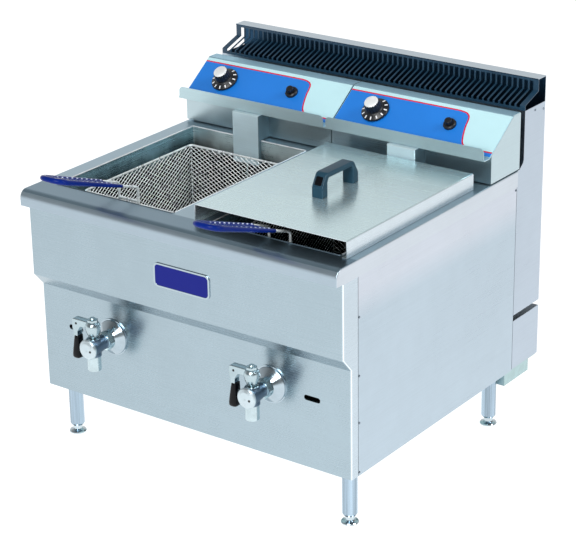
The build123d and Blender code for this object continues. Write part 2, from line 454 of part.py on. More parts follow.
# ---------------------------------------------------------------- baskets
for name, s in (("left", -1), ("right", 1)):
    cx, yf = s * TANK_X, BASKET_Y[name]
    cy = yf + BASKET_L / 2
    shell = rounded_plate(cx, cy, BASKET_W, BASKET_L, 5.0, BASKET_BOTTOM, BASKET_TOP)
    shell = shell - rounded_plate(cx, cy, BASKET_W - 2.4, BASKET_L - 2.4, 3.8, BASKET_BOTTOM + 1.2, BASKET_TOP + 5)
    parts[name + "_basket"] = shell
    ring = rounded_plate(cx, cy, BASKET_W + 2, BASKET_L + 2, 6.0, BASKET_TOP, BASKET_TOP + 5)
    ring = ring - rounded_plate(cx, cy, BASKET_W - 8, BASKET_L - 8, 1.5, BASKET_TOP - 5, BASKET_TOP + 10)
    wy, zb = yf - 3.1, 481.0
    wires = ring
    tip_y = wy - (GRIP_END - 14) * math.cos(HANDLE_TILT)
    tip_z = zb + (GRIP_END - 14) * math.sin(HANDLE_TILT)
    for q in (-1, 1):
        wires = wires + pipe([(cx + q * WIRE_DX, wy, 432.0), (cx + q * WIRE_DX, wy, zb), (cx + q * WIRE_DX, tip_y, tip_z)], WIRE_R, 9.0)
    for zr in (433.5, 456.0):
        wires = wires + rod((cx - WIRE_DX, wy, zr), (cx + WIRE_DX, wy, zr), WIRE_R)
    parts[name + "_basket_frame"] = wires
    # moulded grip over the two wires
    gp = Plane(origin=(cx, wy, zb), x_dir=(1, 0, 0), z_dir=(0, -math.cos(HANDLE_TILT), math.sin(HANDLE_TILT)))
    half_len = GRIP_LEN / 2
    outline = Plane(origin=gp.origin + gp.z_dir * (GRIP_END - half_len), x_dir=(1, 0, 0), z_dir=gp.y_dir) * RectangleRounded(54.0, GRIP_LEN, 20.0)
    grip = extrude(outline, amount=GRIP_T / 2) + extrude(outline, amount=-GRIP_T / 2)
    grip = soften(grip, grip.edges(), 3.0)
    for i in range(9):
        slot = gp * Pos(0, 0, GRIP_END - GRIP_LEN + 18 + i * 11.5) * Box(26, 30, 5.0)
        grip = grip - slot
    for q in (-1, 1):
        grip = grip - pipe([(cx + q * WIRE_DX, wy, 432.0), (cx + q * WIRE_DX, wy, zb), (cx + q * WIRE_DX, tip_y, tip_z)], WIRE_R, 9.0)
    parts[name + "_basket_grip"] = grip

# ---------------------------------------------------------------- lid
lid = block(LID_X0, LID_X1, LID_Y0, LID_Y1, LID_BASE, LID_TOP)
lid = soften(lid, edges_at(lid, lambda e: abs(e.center().Z - LID_TOP) < 0.01 and e.center().Y > LID_Y0 + 1), 2.5)
lid = lid - block(LID_X0 + SHEET, LID_X1 - SHEET, LID_Y0 - 5, LID_Y1 - SHEET, LID_BASE - 5, LID_TOP - SHEET)
for xe, q in ((LID_X0, 1), (LID_X1, -1)):
    xa, xb = sorted((xe + q * SHEET, xe + q * 9))
    lid = lid + block(xa - 0.2, xb + 0.2, LID_Y0, LID_Y1 - SHEET, LID_BASE, LID_BASE + SHEET)
parts["lid"] = lid

HX, HW = 160.5, 22.0
hp = [(176, LID_TOP), (176, 517.0), (188, 538.0), (265, 538.0), (277, 517.0), (277, LID_TOP), (264, LID_TOP), (264, 516.0),
      (258, 529.0), (195, 529.0), (189, 516.0), (189, LID_TOP)]
handle = prism_x(hp, HX - HW / 2, HX + HW / 2)
handle = soften(handle, edges_at(handle, lambda e: abs(abs(e.center().X - HX) - HW / 2) < 0.01 and e.center().Z > LID_TOP + 0.5), 1.5)
parts["lid_handle"] = handle

# ---------------------------------------------------------------- badge plate and fasteners
badge = Plane(origin=(6.0, Y_APRON, 375.0), x_dir=(1, 0, 0), z_dir=(0, -1, 0)) * RectangleRounded(BADGE_W, BADGE_H, 9.0)
parts["badge_plate"] = extrude(badge, amount=1.6)

HEAD = [(0, 0), (3.6, 0), (3.5, 0.7), (2.6, 1.6), (1.0, 1.9), (0, 1.9)]
RIVET = [(0, 0), (2.1, 0), (2.0, 0.5), (1.3, 1.0), (0, 1.1)]
screws = None
for s in (-1, 1):
    for y, z in ((60.8, 372.6), (60.8, 273.4), (60.8, 192.3), (60.8, 106.0), (531.4, 435.5), (588.9, 561.9), (617.2, 557.0)):
        head = lathe(RIVET, (s * PANEL_X, y, z), (s, 0, 0), xdir=(0, 1, 0))
        screws = head if screws is None else screws + head
for x in (-300, -100, 100, 300):
    for z in (216.0, 400.0, 556.0, 180.0):
        screws = screws + lathe(HEAD, (x, Y_BACK, z), (0, 1, 0))
parts["panel_screws"] = screws

# ---------------------------------------------------------------- write
front_y = min(p.bounding_box().min.Y for p in parts.values())
back_y = max(p.bounding_box().max.Y for p in parts.values())
Y_MID = (front_y + back_y) / 2
print("front", round(front_y, 3), "back", round(back_y, 3), "Y_MID", round(Y_MID, 3), "nodes", len(parts))
os.makedirs("parts", exist_ok=True)
for name, shape in parts.items():
    export_step(shape.moved(Location((0, -Y_MID, 0))), "parts/" + name + ".step")
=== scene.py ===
import bpy
import math
from mathutils import Matrix, Vector


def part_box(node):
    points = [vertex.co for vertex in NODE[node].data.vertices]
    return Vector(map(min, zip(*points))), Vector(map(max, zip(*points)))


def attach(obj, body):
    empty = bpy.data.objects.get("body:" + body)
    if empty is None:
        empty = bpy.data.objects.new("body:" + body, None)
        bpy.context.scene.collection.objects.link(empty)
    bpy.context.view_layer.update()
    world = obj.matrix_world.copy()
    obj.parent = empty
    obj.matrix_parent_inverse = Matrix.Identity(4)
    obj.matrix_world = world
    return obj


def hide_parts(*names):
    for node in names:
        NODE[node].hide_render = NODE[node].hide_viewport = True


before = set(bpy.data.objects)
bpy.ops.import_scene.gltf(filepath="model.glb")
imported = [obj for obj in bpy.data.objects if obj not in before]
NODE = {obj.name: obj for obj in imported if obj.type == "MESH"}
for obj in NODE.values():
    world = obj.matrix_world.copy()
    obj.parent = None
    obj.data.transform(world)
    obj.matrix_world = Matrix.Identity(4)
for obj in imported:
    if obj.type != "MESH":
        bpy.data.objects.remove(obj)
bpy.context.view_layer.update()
scene = bpy.context.scene
scene.view_settings.view_transform = "Standard"

# Millimetres below are X across, Y back from the face of the front lip, Z up from the floor.
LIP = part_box("deck")[0].y


def P(x, y, z):
    return Vector((x / 1000, LIP + y / 1000, z / 1000))


MM = Matrix.Translation((0, LIP, 0)) @ Matrix.Scale(0.001, 4)


def rgb(r, g, b):
    def lin(c):
        c = c / 255
        return c / 12.92 if c <= 0.04045 else ((c + 0.055) / 1.055) ** 2.4
    return (lin(r), lin(g), lin(b), 1.0)


def scaled(c, k):
    return (min(c[0] * k, 1), min(c[1] * k, 1), min(c[2] * k, 1), 1.0)


# ---------------------------------------------------------------- materials
class Look:
    def __init__(self, name):
        self.mat = bpy.data.materials.new(name)
        self.mat.use_nodes = True
        self.t = self.mat.node_tree
        self.t.nodes.clear()
        out = self.t.nodes.new("ShaderNodeOutputMaterial")
        self.b = self.t.nodes.new("ShaderNodeBsdfPrincipled")
        self.t.links.new(self.b.outputs[0], out.inputs[0])
        self._coord = None

    def new(self, kind, **props):
        n = self.t.nodes.new(kind)
        for k, v in props.items():
            setattr(n, k, v)
        return n

    def link(self, a, b):
        self.t.links.new(a, b)

    def set(self, **values):
        for k, v in values.items():
            self.b.inputs[k.replace("_", " ")].default_value = v
        return self

    @property
    def coord(self):
        if self._coord is None:
            self._coord = self.new("ShaderNodeTexCoord")
        return self._coord

    def noise(self, stretch, detail=3.0, rough=0.55, where=None):
        m = self.new("ShaderNodeMapping")
        m.inputs["Scale"].default_value = stretch
        self.link(where or self.coord.outputs["Object"], m.inputs["Vector"])
        n = self.new("ShaderNodeTexNoise")
        n.inputs["Scale"].default_value = 1.0
        n.inputs["Detail"].default_value = detail
        n.inputs["Roughness"].default_value = rough
        self.link(m.outputs[0], n.inputs["Vector"])
        return n.outputs[0]

    def cells(self, scale, feature="F1"):
        v = self.new("ShaderNodeTexVoronoi", feature=feature)
        v.inputs["Scale"].default_value = scale
        self.link(self.coord.outputs["Object"], v.inputs["Vector"])
        return v

    def math(self, op, a, b=None, clamp=False):
        n = self.new("ShaderNodeMath", operation=op, use_clamp=clamp)
        for i, v in enumerate((a, b)):
            if v is None:
                continue
            if isinstance(v, (int, float)):
                n.inputs[i].default_value = v
            else:
                self.link(v, n.inputs[i])
        return n.outputs[0]

    def span(self, fac, a, b, c, d):
        n = self.new("ShaderNodeMapRange")
        for i, v in enumerate((a, b, c, d)):
            n.inputs[i + 1].default_value = v
        self.link(fac, n.inputs[0])
        return n.outputs[0]

    def pick(self, fac, a, b):
        n = self.new("ShaderNodeMix", data_type="FLOAT")
        self.link(fac, n.inputs[0])
        for i, v in ((2, a), (3, b)):
            if isinstance(v, (int, float)):
                n.inputs[i].default_value = v
            else:
                self.link(v, n.inputs[i])
        return n.outputs[0]

    def tint(self, fac, c0, c1):
        n = self.new("ShaderNodeMix", data_type="RGBA")
        self.link(fac, n.inputs[0])
        for i, v in ((6, c0), (7, c1)):
            if isinstance(v, tuple):
                n.inputs[i].default_value = v
            else:
                self.link(v, n.inputs[i])
        return n.outputs[2]

    def bump(self, height, strength, distance):
        n = self.new("ShaderNodeBump")
        n.inputs["Strength"].default_value = strength
        n.inputs["Distance"].default_value = distance
        self.link(height, n.inputs["Height"])
        self.link(n.outputs[0], self.b.inputs["Normal"])

    def colour(self, socket):
        self.link(socket, self.b.inputs["Base Color"])

    def rough(self, socket):
        self.link(socket, self.b.inputs["Roughness"])


def brushed(name, colour, rough=0.3, spread=0.10, aniso=0.55, cloud=0.10, grain=0.05, flat_along="X", metal=1.0, painted_upright=None, painted_flank=None, inner=None, painted_strip_shade=None, painted_base_shade=None, painted_top_light=None, bend=None, painted_underside_shade=None):
    """Brushed stainless sheet: lines run level on vertical faces, and along X or Y on flat ones. Vertical and
    side-facing faces can get their own tones as painted light and shade; optional marks add painted shade in a band
    along the front edge, painted shade beneath a height, a paler band over a height as painted light, a painted
    highlight on rounded vertical bends and painted shade on down-facing faces.
    """
    s = Look(name)
    s.set(Metallic=metal, Anisotropic=aniso)
    sep = s.new("ShaderNodeSeparateXYZ")
    s.link(s.coord.outputs["Normal"], sep.inputs[0])
    lying = s.math("GREATER_THAN", s.math("ABSOLUTE", sep.outputs[2]), 0.75)
    up = s.noise((5, 5, 1500), 4, 0.62)
    down = s.noise((5, 1500, 5) if flat_along == "X" else (1500, 5, 5), 4, 0.62)
    line = s.pick(lying, up, down)
    broad = s.noise((3.2, 3.2, 3.2), 3, 0.5)
    fine = s.noise((26, 26, 26), 4, 0.6)
    mix = s.math("ADD", s.math("MULTIPLY", line, 0.45), s.math("ADD", s.math("MULTIPLY", broad, 0.35), s.math("MULTIPLY", fine, 0.20)))
    tone = s.span(mix, 0.3, 0.7, 0.0, 1.0)
    shade = s.tint(tone, scaled(colour, 1 - cloud), scaled(colour, 1 + cloud))
    # painted light and shade: vertical faces, and among them side-facing ones, take their own lighter or darker tones
    # in place of how light falls on them
    if painted_upright:
        other = s.tint(tone, scaled(painted_upright, 1 - cloud), scaled(painted_upright, 1 + cloud))
        if painted_flank:
            third = s.tint(tone, scaled(painted_flank, 1 - cloud), scaled(painted_flank, 1 + cloud))
            other = s.tint(s.math("GREATER_THAN", s.math("ABSOLUTE", sep.outputs[0]), 0.6), other, third)
        shade = s.tint(s.span(s.math("ABSOLUTE", sep.outputs[2]), 0.35, 0.9, 0.0, 1.0), other, shade)
    # painted shade: flat faces close to the front edge take a darker tone, standing in for the dark reflection and
    # shade along the deck's front
    if painted_strip_shade:
        at = s.new("ShaderNodeSeparateXYZ")
        s.link(s.coord.outputs["Object"], at.inputs[0])
        edge = s.tint(tone, scaled(painted_strip_shade[1], 1 - cloud), scaled(painted_strip_shade[1], 1 + cloud))
        shade = s.tint(s.math("MULTIPLY", lying, s.span(at.outputs[1], painted_strip_shade[0] - 0.004, painted_strip_shade[0], 1.0, 0.0)), shade, edge)
    # painted shade: everything beneath the given height turns near-black, standing in for the shadowed gap under the
    # box
    if painted_base_shade:
        foot = s.new("ShaderNodeSeparateXYZ")
        s.link(s.coord.outputs["Object"], foot.inputs[0])
        shade = s.tint(s.math("LESS_THAN", foot.outputs[2], painted_base_shade[0]), shade, painted_base_shade[1])
    # painted light: a paler band over the given heights, where the side panels look more brightly lit
    if painted_top_light:
        head = s.new("ShaderNodeSeparateXYZ")
        s.link(s.coord.outputs["Object"], head.inputs[0])
        pale = s.tint(tone, scaled(painted_top_light[2], 1 - cloud), scaled(painted_top_light[2], 1 + cloud))
        shade = s.tint(s.span(head.outputs[2], painted_top_light[0], painted_top_light[1], 0.0, 1.0), shade, pale)
    if inner:
        shade = s.tint(s.math("LESS_THAN", sep.outputs[1], -0.5), shade, inner)
    # painted highlight: faces turned partway between front and side, the rounded vertical bends, take a pale tone
    if bend:
        turn = s.math("ABSOLUTE", sep.outputs[0])
        turn = s.math("MULTIPLY", s.math("GREATER_THAN", turn, 0.50), s.math("LESS_THAN", turn, 0.92))
        shade = s.tint(s.math("MULTIPLY", turn, s.math("LESS_THAN", s.math("ABSOLUTE", sep.outputs[2]), 0.5)), shade, bend)
    # painted shade: down-facing faces take a dark tone
    if painted_underside_shade:
        shade = s.tint(s.math("LESS_THAN", sep.outputs[2], -0.5), shade, painted_underside_shade)
    s.colour(shade)
    s.rough(s.span(mix, 0.3, 0.7, rough - spread / 2, rough + spread / 2))
    s.bump(line, grain, 0.0002)
    comb = s.new("ShaderNodeCombineXYZ")
    s.link(lying, comb.inputs[1 if flat_along == "X" else 0])
    s.link(s.math("SUBTRACT", 1.0, lying), comb.inputs[2])
    s.link(comb.outputs[0], s.b.inputs["Tangent"])
    return s.mat


def tubing(name, colour, rough=0.16):
    """Drawn tube with long die lines."""
    s = Look(name)
    s.set(Metallic=1.0, Anisotropic=0.2)
    wide = s.noise((120, 120, 1.5), 2, 0.5)
    fine = s.noise((700, 700, 6), 3, 0.6)
    mix = s.math("ADD", s.math("MULTIPLY", wide, 0.7), s.math("MULTIPLY", fine, 0.3))
    s.colour(s.tint(s.span(mix, 0.36, 0.64, 0.0, 1.0), scaled(colour, 0.62), scaled(colour, 1.3)))
    s.rough(s.span(mix, 0.3, 0.7, rough - 0.05, rough + 0.08))
    return s.mat


def shaded_tank_sheet(name, clean, painted_rear_wall_light, painted_depth_shade, top, bottom, rough=0.27):
    """Tank sheet: plain steel colour in the upper part, near-black at the bottom as painted shade of the deep tank,
    with the boundary wandering between the two given levels, and a paler tone on the rear wall as painted light;
    heights in metres.
    """
    s = Look(name)
    s.set(Metallic=0.9, Anisotropic=0.4)
    sep = s.new("ShaderNodeSeparateXYZ")
    s.link(s.coord.outputs["Object"], sep.inputs[0])
    runs = s.noise((60, 60, 4), 3, 0.55)
    broad = s.noise((9, 9, 9), 4, 0.6)
    line = s.noise((5, 5, 1500), 3, 0.6)
    at = s.math("ADD", sep.outputs[2], s.math("MULTIPLY", s.math("ADD", s.math("MULTIPLY", runs, 0.25), s.math("MULTIPLY", broad, 0.75)), 0.05))
    # painted shade: near-black from a wavy height between the given levels downwards, standing in for the dark depth of
    # the tank
    low = s.span(at, bottom + 0.025, top + 0.025, 1.0, 0.0)
    mix = s.math("ADD", s.math("MULTIPLY", line, 0.4), s.math("MULTIPLY", broad, 0.6))
    tone = s.span(mix, 0.3, 0.7, 0.0, 1.0)
    steel = s.tint(tone, scaled(clean, 0.82), scaled(clean, 1.16))
    # painted light: faces turned towards the front, that is the rear wall, take a paler tone
    face = s.new("ShaderNodeSeparateXYZ")
    s.link(s.coord.outputs["Normal"], face.inputs[0])
    steel = s.tint(s.span(face.outputs[1], -0.9, -0.4, 1.0, 0.0), steel, s.tint(tone, scaled(painted_rear_wall_light, 0.82), scaled(painted_rear_wall_light, 1.16)))
    s.colour(s.tint(low, steel, painted_depth_shade))
    s.rough(s.span(mix, 0.3, 0.7, rough - 0.06, rough + 0.08))
    s.bump(line, 0.05, 0.0002)
    return s.mat


def galvanised(name, colour):
    s = Look(name)
    s.set(Metallic=1.0)
    v = s.cells(110)
    sep = s.new("ShaderNodeSeparateColor")
    s.link(v.outputs["Color"], sep.inputs[0])
    cloud = s.noise((14, 14, 14), 3, 0.55)
    f = s.math("ADD", s.math("MULTIPLY", sep.outputs[0], 0.6), s.math("MULTIPLY", cloud, 0.4))
    s.colour(s.tint(f, scaled(colour, 0.82), scaled(colour, 1.12)))
    s.rough(s.span(f, 0.0, 1.0, 0.34, 0.56))
    s.bump(f, 0.05, 0.0004)
    return s.mat


def plated(name, colour, rough=0.08, cloud=0.06, metal=1.0):
    s = Look(name)
    s.set(Metallic=metal)
    n = s.noise((60, 60, 60), 3, 0.6)
    s.colour(s.tint(s.span(n, 0.3, 0.7, 0.0, 1.0), scaled(colour, 1 - cloud), scaled(colour, 1 + cloud)))
    s.rough(s.span(n, 0.3, 0.7, rough * 0.7, rough * 1.5))
    return s.mat


def cast_tap(name, light, dark, near, far, low, high, rough=0.2):
    """Satin-plated casting, left dull on its tapered neck; the limits are distances and heights in metres."""
    s = Look(name)
    s.set(Metallic=1.0)
    sep = s.new("ShaderNodeSeparateXYZ")
    s.link(s.coord.outputs["Object"], sep.inputs[0])
    n = s.noise((70, 70, 70), 4, 0.6)
    along = s.math("MULTIPLY", s.span(sep.outputs[1], near, near + 0.001, 0.0, 1.0), s.span(sep.outputs[1], far, far + 0.0006, 1.0, 0.0))
    level = s.math("MULTIPLY", s.span(sep.outputs[2], low, low + 0.002, 0.0, 1.0), s.span(sep.outputs[2], high, high + 0.0006, 1.0, 0.0))
    dull = s.math("MULTIPLY", along, level)
    tone = s.span(n, 0.3, 0.7, 0.0, 1.0)
    nut = s.span(sep.outputs[1], far, far + 0.0006, 0.0, 1.0)
    plain = s.tint(nut, s.tint(tone, scaled(light, 0.9), scaled(light, 1.1)), s.tint(tone, scaled(light, 1.45), scaled(light, 1.6)))
    s.colour(s.tint(dull, plain, s.tint(tone, scaled(dark, 0.8), scaled(dark, 1.2))))
    s.rough(s.math("ADD", s.span(n, 0.3, 0.7, rough - 0.05, rough + 0.08), s.math("MULTIPLY", dull, 0.15)))
    s.bump(n, 0.04, 0.0003)
    return s.mat


def moulded(name, colour, rough=0.4, coat=0.0, pebble=900, grain=0.06, cloud=0.12, shine=0.5):
    s = Look(name)
    s.set(Metallic=0.0, Coat_Weight=coat, Coat_Roughness=0.12, Specular_IOR_Level=shine)
    n = s.noise((pebble, pebble, pebble), 2, 0.5)
    m = s.noise((30, 30, 30), 3, 0.55)
    s.colour(s.tint(s.span(m, 0.3, 0.7, 0.0, 1.0), scaled(colour, 1 - cloud), scaled(colour, 1 + cloud)))
    s.rough(s.span(m, 0.3, 0.7, rough - 0.06, rough + 0.06))
    s.bump(n, grain, 0.0002)
    return s.mat


def printed(name, colour, rough=0.32, coat=0.25, shine=0.5):
    s = Look(name)
    s.set(Metallic=0.0, Coat_Weight=coat, Coat_Roughness=0.15, Specular_IOR_Level=shine)
    n = s.noise((9, 9, 9), 3, 0.5)
    g = s.noise((700, 700, 700), 2, 0.5)
    s.colour(s.tint(s.span(n, 0.3, 0.7, 0.0, 1.0), scaled(colour, 0.95), scaled(colour, 1.05)))
    s.rough(s.span(n, 0.3, 0.7, rough - 0.05, rough + 0.05))
    s.bump(g, 0.02, 0.0001)
    return s.mat


def casting(name, colour, rough=0.6, metallic=1.0):
    s = Look(name)
    s.set(Metallic=metallic)
    n = s.noise((320, 320, 320), 4, 0.65)
    m = s.noise((22, 22, 22), 3, 0.5)
    s.colour(s.tint(s.span(m, 0.3, 0.7, 0.0, 1.0), scaled(colour, 0.7), scaled(colour, 1.25)))
    s.rough(s.span(m, 0.3, 0.7, rough - 0.08, rough + 0.1))
    s.bump(n, 0.25, 0.0005)
    return s.mat


M = {
    # front panel: paler side-facing returns are painted light, and the pale tone on the rounded vertical bends is a
    # painted highlight
    "front": brushed("steel_front", rgb(164, 181, 190), 0.27, aniso=0.6, painted_upright=rgb(164, 181, 190), painted_flank=rgb(188, 201, 210), bend=rgb(230, 238, 243)),
    # side panels: the paler band along their tops is painted light
    "side": brushed("steel_side", rgb(177, 192, 203), 0.30, aniso=0.6, painted_top_light=(0.365, 0.410, rgb(195, 202, 212))),
    # deck: darker vertical faces, paler side-facing ends and the darker band along the front are painted light and
    # shade
    "deck": brushed("steel_deck", rgb(187, 211, 224), 0.36, aniso=0.5, painted_upright=rgb(170, 186, 197), painted_flank=rgb(198, 206, 214), painted_strip_shade=(LIP + 0.0555, rgb(146, 172, 188))),
    # lid: its own tones on vertical and side-facing faces are painted light and shade, and the dark down-facing faces
    # are painted shade
    "lid": brushed("steel_lid", rgb(222, 247, 255), 0.27, spread=0.07, aniso=0.45, metal=0.84, painted_upright=rgb(206, 218, 225), painted_flank=rgb(201, 212, 219), painted_underside_shade=rgb(70, 74, 76)),
    # tanks: near-black lower down is painted shade of the deep tank, and the paler rear wall is painted light
    "tank": shaded_tank_sheet("steel_tank", rgb(158, 200, 214), rgb(228, 252, 255), rgb(7, 9, 10), 0.456, 0.428),
    # control boxes: near-black beneath the given height is painted shade in the gap over the deck
    "box": brushed("steel_box", rgb(182, 200, 206), 0.30, aniso=0.5, painted_base_shade=(0.4714, rgb(16, 20, 22))),
    # fascias: the separate tone on vertical faces is painted light and shade
    "fascia": brushed("steel_fascia", rgb(182, 226, 250), 0.40, aniso=0.5, metal=0.84, painted_upright=rgb(190, 214, 220)),
    # probe guards: the separate tone on vertical faces and the much darker side-facing faces are painted shade
    "guard": brushed("steel_guard", rgb(214, 232, 238), 0.42, aniso=0.4, metal=0.6, painted_upright=rgb(206, 228, 236), painted_flank=rgb(112, 134, 144)),
    "rear": brushed("steel_rear", rgb(178, 190, 202), 0.30, aniso=0.6),
    # flue panel: the darker vertical faces are painted shade
    "flue": brushed("steel_flue", rgb(212, 226, 236), 0.30, aniso=0.6, painted_upright=rgb(178, 190, 202), inner=rgb(44, 74, 100)),
    "leg": tubing("steel_leg", rgb(164, 183, 198)),
    "galv": galvanised("galvanised", rgb(178, 202, 204)),
    "chrome": plated("chrome", rgb(196, 208, 214), 0.09),
    "flange": plated("tap_flange", rgb(172, 187, 196), 0.12),
    "lever": plated("tap_lever", rgb(176, 194, 200), 0.2),
    "tap": cast_tap("tap_casting", rgb(190, 207, 212), rgb(96, 114, 132), LIP - 0.0222, LIP + 0.0138, 0.2105, 0.2426),
    "wire": plated("basket_wire", rgb(243, 251, 254), 0.28, metal=0.55),
    "cap": plated("knob_cap", rgb(240, 243, 244), 0.4, metal=0.35),
    "spun": plated("spun_cap", rgb(198, 212, 218), 0.36),
    "black": moulded("black_plastic", rgb(17, 20, 25), 0.38),
    "soot": moulded("black_grip", rgb(8, 10, 14), 0.3, shine=0.16),
    "grey": moulded("slate_plastic", rgb(27, 61, 78), 0.36, shine=0.3),
    "navy": moulded("navy_grip", rgb(6, 32, 110), 0.22, grain=0.02, shine=0.1),
    # grip ribs: their pale colour is a painted glint
    "rib": moulded("grip_rib_painted_glint", rgb(196, 208, 236), 0.3, grain=0.02),
    "blue": printed("label_blue", rgb(28, 123, 216)),
    "white": printed("label_white", rgb(190, 229, 236)),
    "red": printed("label_red", rgb(214, 22, 60)),
    "enamel": printed("badge_navy", rgb(10, 22, 116), 0.3, coat=0.0, shine=0.15),
    "stove": moulded("black_enamel", rgb(29, 60, 82), 0.36, pebble=500, shine=0.5),
    "tick": printed("dial_white", rgb(236, 238, 240), 0.4),
    "iron": casting("cast_iron", rgb(88, 84, 80), 0.62),
    "alloy": casting("die_cast", rgb(176, 178, 180), 0.4),
    "brass": plated("brass_pipe", rgb(196, 160, 104), 0.28, 0.1),
    "screw": plated("screw_steel", rgb(110, 120, 130), 0.25),
    # dark discs on the tap arm and cap: painted shade of small holes
    "dark": moulded("recess_painted_shade", rgb(14, 15, 17), 0.55),
    "weld": plated("ground_weld", rgb(240, 246, 250), 0.4, metal=0.5),
    # darker copy of the weld colour: painted shade
    "shaded_weld": plated("shaded_weld", rgb(92, 108, 118), 0.4, metal=0.8),
}


def wear(node, *mats):
    o = NODE[node]
    o.data.materials.clear()
    for m in mats:
        o.data.materials.append(M[m])


for n, m in {
    "deck": "deck", "front_panel": "front", "left_side_panel": "side", "right_side_panel": "side", "left_tank": "tank", "right_tank": "tank",
    "rest_racks": "tank", "left_control_box": "box", "right_control_box": "box", "left_fascia": "fascia", "right_fascia": "fascia",
    "left_probe_guard": "guard", "right_probe_guard": "guard", "flue_column": "rear", "flue_rear_panel": "flue", "rear_service_cover": "rear",
    "panel_screws": "screw", "lid": "lid", "leg_sleeves": "leg", "temperature_probes": "chrome", "base_pan": "galv",
    "rear_base_channel": "galv", "left_fire_box": "galv", "right_fire_box": "galv", "left_tap_escutcheon": "flange",
    "right_tap_escutcheon": "flange", "left_tap_body": "tap", "right_tap_body": "tap", "tap_caps": "spun",
    "front_left_foot": "chrome", "front_right_foot": "chrome", "rear_left_foot": "chrome", "rear_right_foot": "chrome",
    "igniter_bodies": "black", "left_igniter_button": "black", "right_igniter_button": "black", "flue_grille": "stove",
    "left_burner": "iron", "right_burner": "iron", "pilot_burners": "iron", "left_gas_valve": "alloy", "right_gas_valve": "alloy",
    "gas_feed_pipes": "brass", "gas_manifold": "brass",
}.items():
    wear(n, m)


# slightly rounded sheet edges
for n, width in {"deck": 0.45, "lid": 0.5, "front_panel": 0.45, "left_side_panel": 0.4, "right_side_panel": 0.4, "left_control_box": 0.45,
                 "right_control_box": 0.45, "left_fascia": 0.45, "right_fascia": 0.45, "left_probe_guard": 0.45, "right_probe_guard": 0.45,
                 "flue_column": 0.4, "flue_rear_panel": 0.4, "rear_service_cover": 0.4, "rear_base_channel": 0.4}.items():
    b = NODE[n].modifiers.new("edge", "BEVEL")
    b.width = width / 1000
    b.segments = 2
    b.limit_method = "ANGLE"
    b.angle_limit = math.radians(40)
    b.use_clamp_overlap = True
    b.harden_normals = False


# ---------------------------------------------------------------- mesh tools
def frame_at(tangent, hint):
    t = tangent.normalized()
    a = hint - t * hint.dot(t)
    if a.length < 1e-6:
        a = t.orthogonal()
    a.normalize()
    return t, a, t.cross(a)


class Geo:
    """Collects faces in millimetres, then makes one object in metres."""

    def __init__(self):
        self.v, self.f, self.m = [], [], []

    def add(self, verts, faces, mat=0):
        n = len(self.v)
        self.v += [tuple(p) for p in verts]
        self.f += [tuple(n + i for i in q) for q in faces]
        self.m += [mat] * len(faces)

    def rings(self, rings, closed=False, caps=True, mat=0):
        k = len(rings[0])
        verts = [p for r in rings for p in r]
        faces = []
        last = len(rings) if closed else len(rings) - 1
        for i in range(last):
            a, b = i * k, ((i + 1) % len(rings)) * k
            for j in range(k):
                faces.append((a + j, a + (j + 1) % k, b + (j + 1) % k, b + j))
        if caps and not closed:
            faces.append(tuple(reversed(range(k))))
            faces.append(tuple(range((len(rings) - 1) * k, len(rings) * k)))
        self.add(verts, faces, mat)

    def tube(self, pts, r, sides=12, closed=False, caps=True, mat=0, hint=Vector((0, 0, 1))):
        pts = [Vector(p) for p in pts]
        rings = []
        n = len(pts)
        side = None
        for i, p in enumerate(pts):
            if closed:
                t = pts[(i + 1) % n] - pts[i - 1]
            else:
                t = pts[min(i + 1, n - 1)] - pts[max(i - 1, 0)]
            t, a, b = frame_at(t, side if side is not None else hint)
            side = a
            rr = r[i] if isinstance(r, (list, tuple)) else r
            rings.append([p + (a * math.cos(q) + b * math.sin(q)) * rr for q in (2 * math.pi * (j + 0.5) / sides for j in range(sides))])
        self.rings(rings, closed, caps, mat)

    def lathe(self, prof, origin, axis, segs=48, mat=0, shape=None, xdir=None, turn=0.0):
        o = Vector(origin)
        z, x, y = frame_at(Vector(axis), Vector(xdir) if xdir else Vector(axis).orthogonal())
        verts, rows = [], []
        for r, h in prof:
            if r <= 1e-6:
                rows.append([len(verts)])
                verts.append(o + z * h)
                continue
            row = []
            for j in range(segs):
                q = 2 * math.pi * j / segs + turn
                rr = shape(q, r, h) if shape else r
                row.append(len(verts))
                verts.append(o + (x * math.cos(q) + y * math.sin(q)) * rr + z * h)
            rows.append(row)
        faces = []
        for a, b in zip(rows, rows[1:]):
            for j in range(segs):
                k = (j + 1) % segs
                if len(a) == 1 and len(b) == 1:
                    continue
                if len(a) == 1:
                    faces.append((a[0], b[k], b[j]))
                elif len(b) == 1:
                    faces.append((a[j], a[k], b[0]))
                else:
                    faces.append((a[j], a[k], b[k], b[j]))
        self.add(verts, faces, mat)

    def mesh(self, me, mat=0):
        self.add([v.co for v in me.vertices], [tuple(p.vertices) for p in me.polygons], mat)

    def build(self, name, mats, body, replaces=(), sharp=35.0):
        me = bpy.data.meshes.new(name)
        me.from_pydata(self.v, [], self.f)
        for m in mats:
            me.materials.append(M[m])
        me.polygons.foreach_set("material_index", self.m)
        me.transform(MM)
        me.validate()
        me.shade_smooth()
        me.set_sharp_from_angle(angle=math.radians(sharp))
        me.update()
        ob = bpy.data.objects.new(name, me)
        scene.collection.objects.link(ob)
        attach(ob, body)
        if replaces:
            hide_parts(*replaces)
        return ob


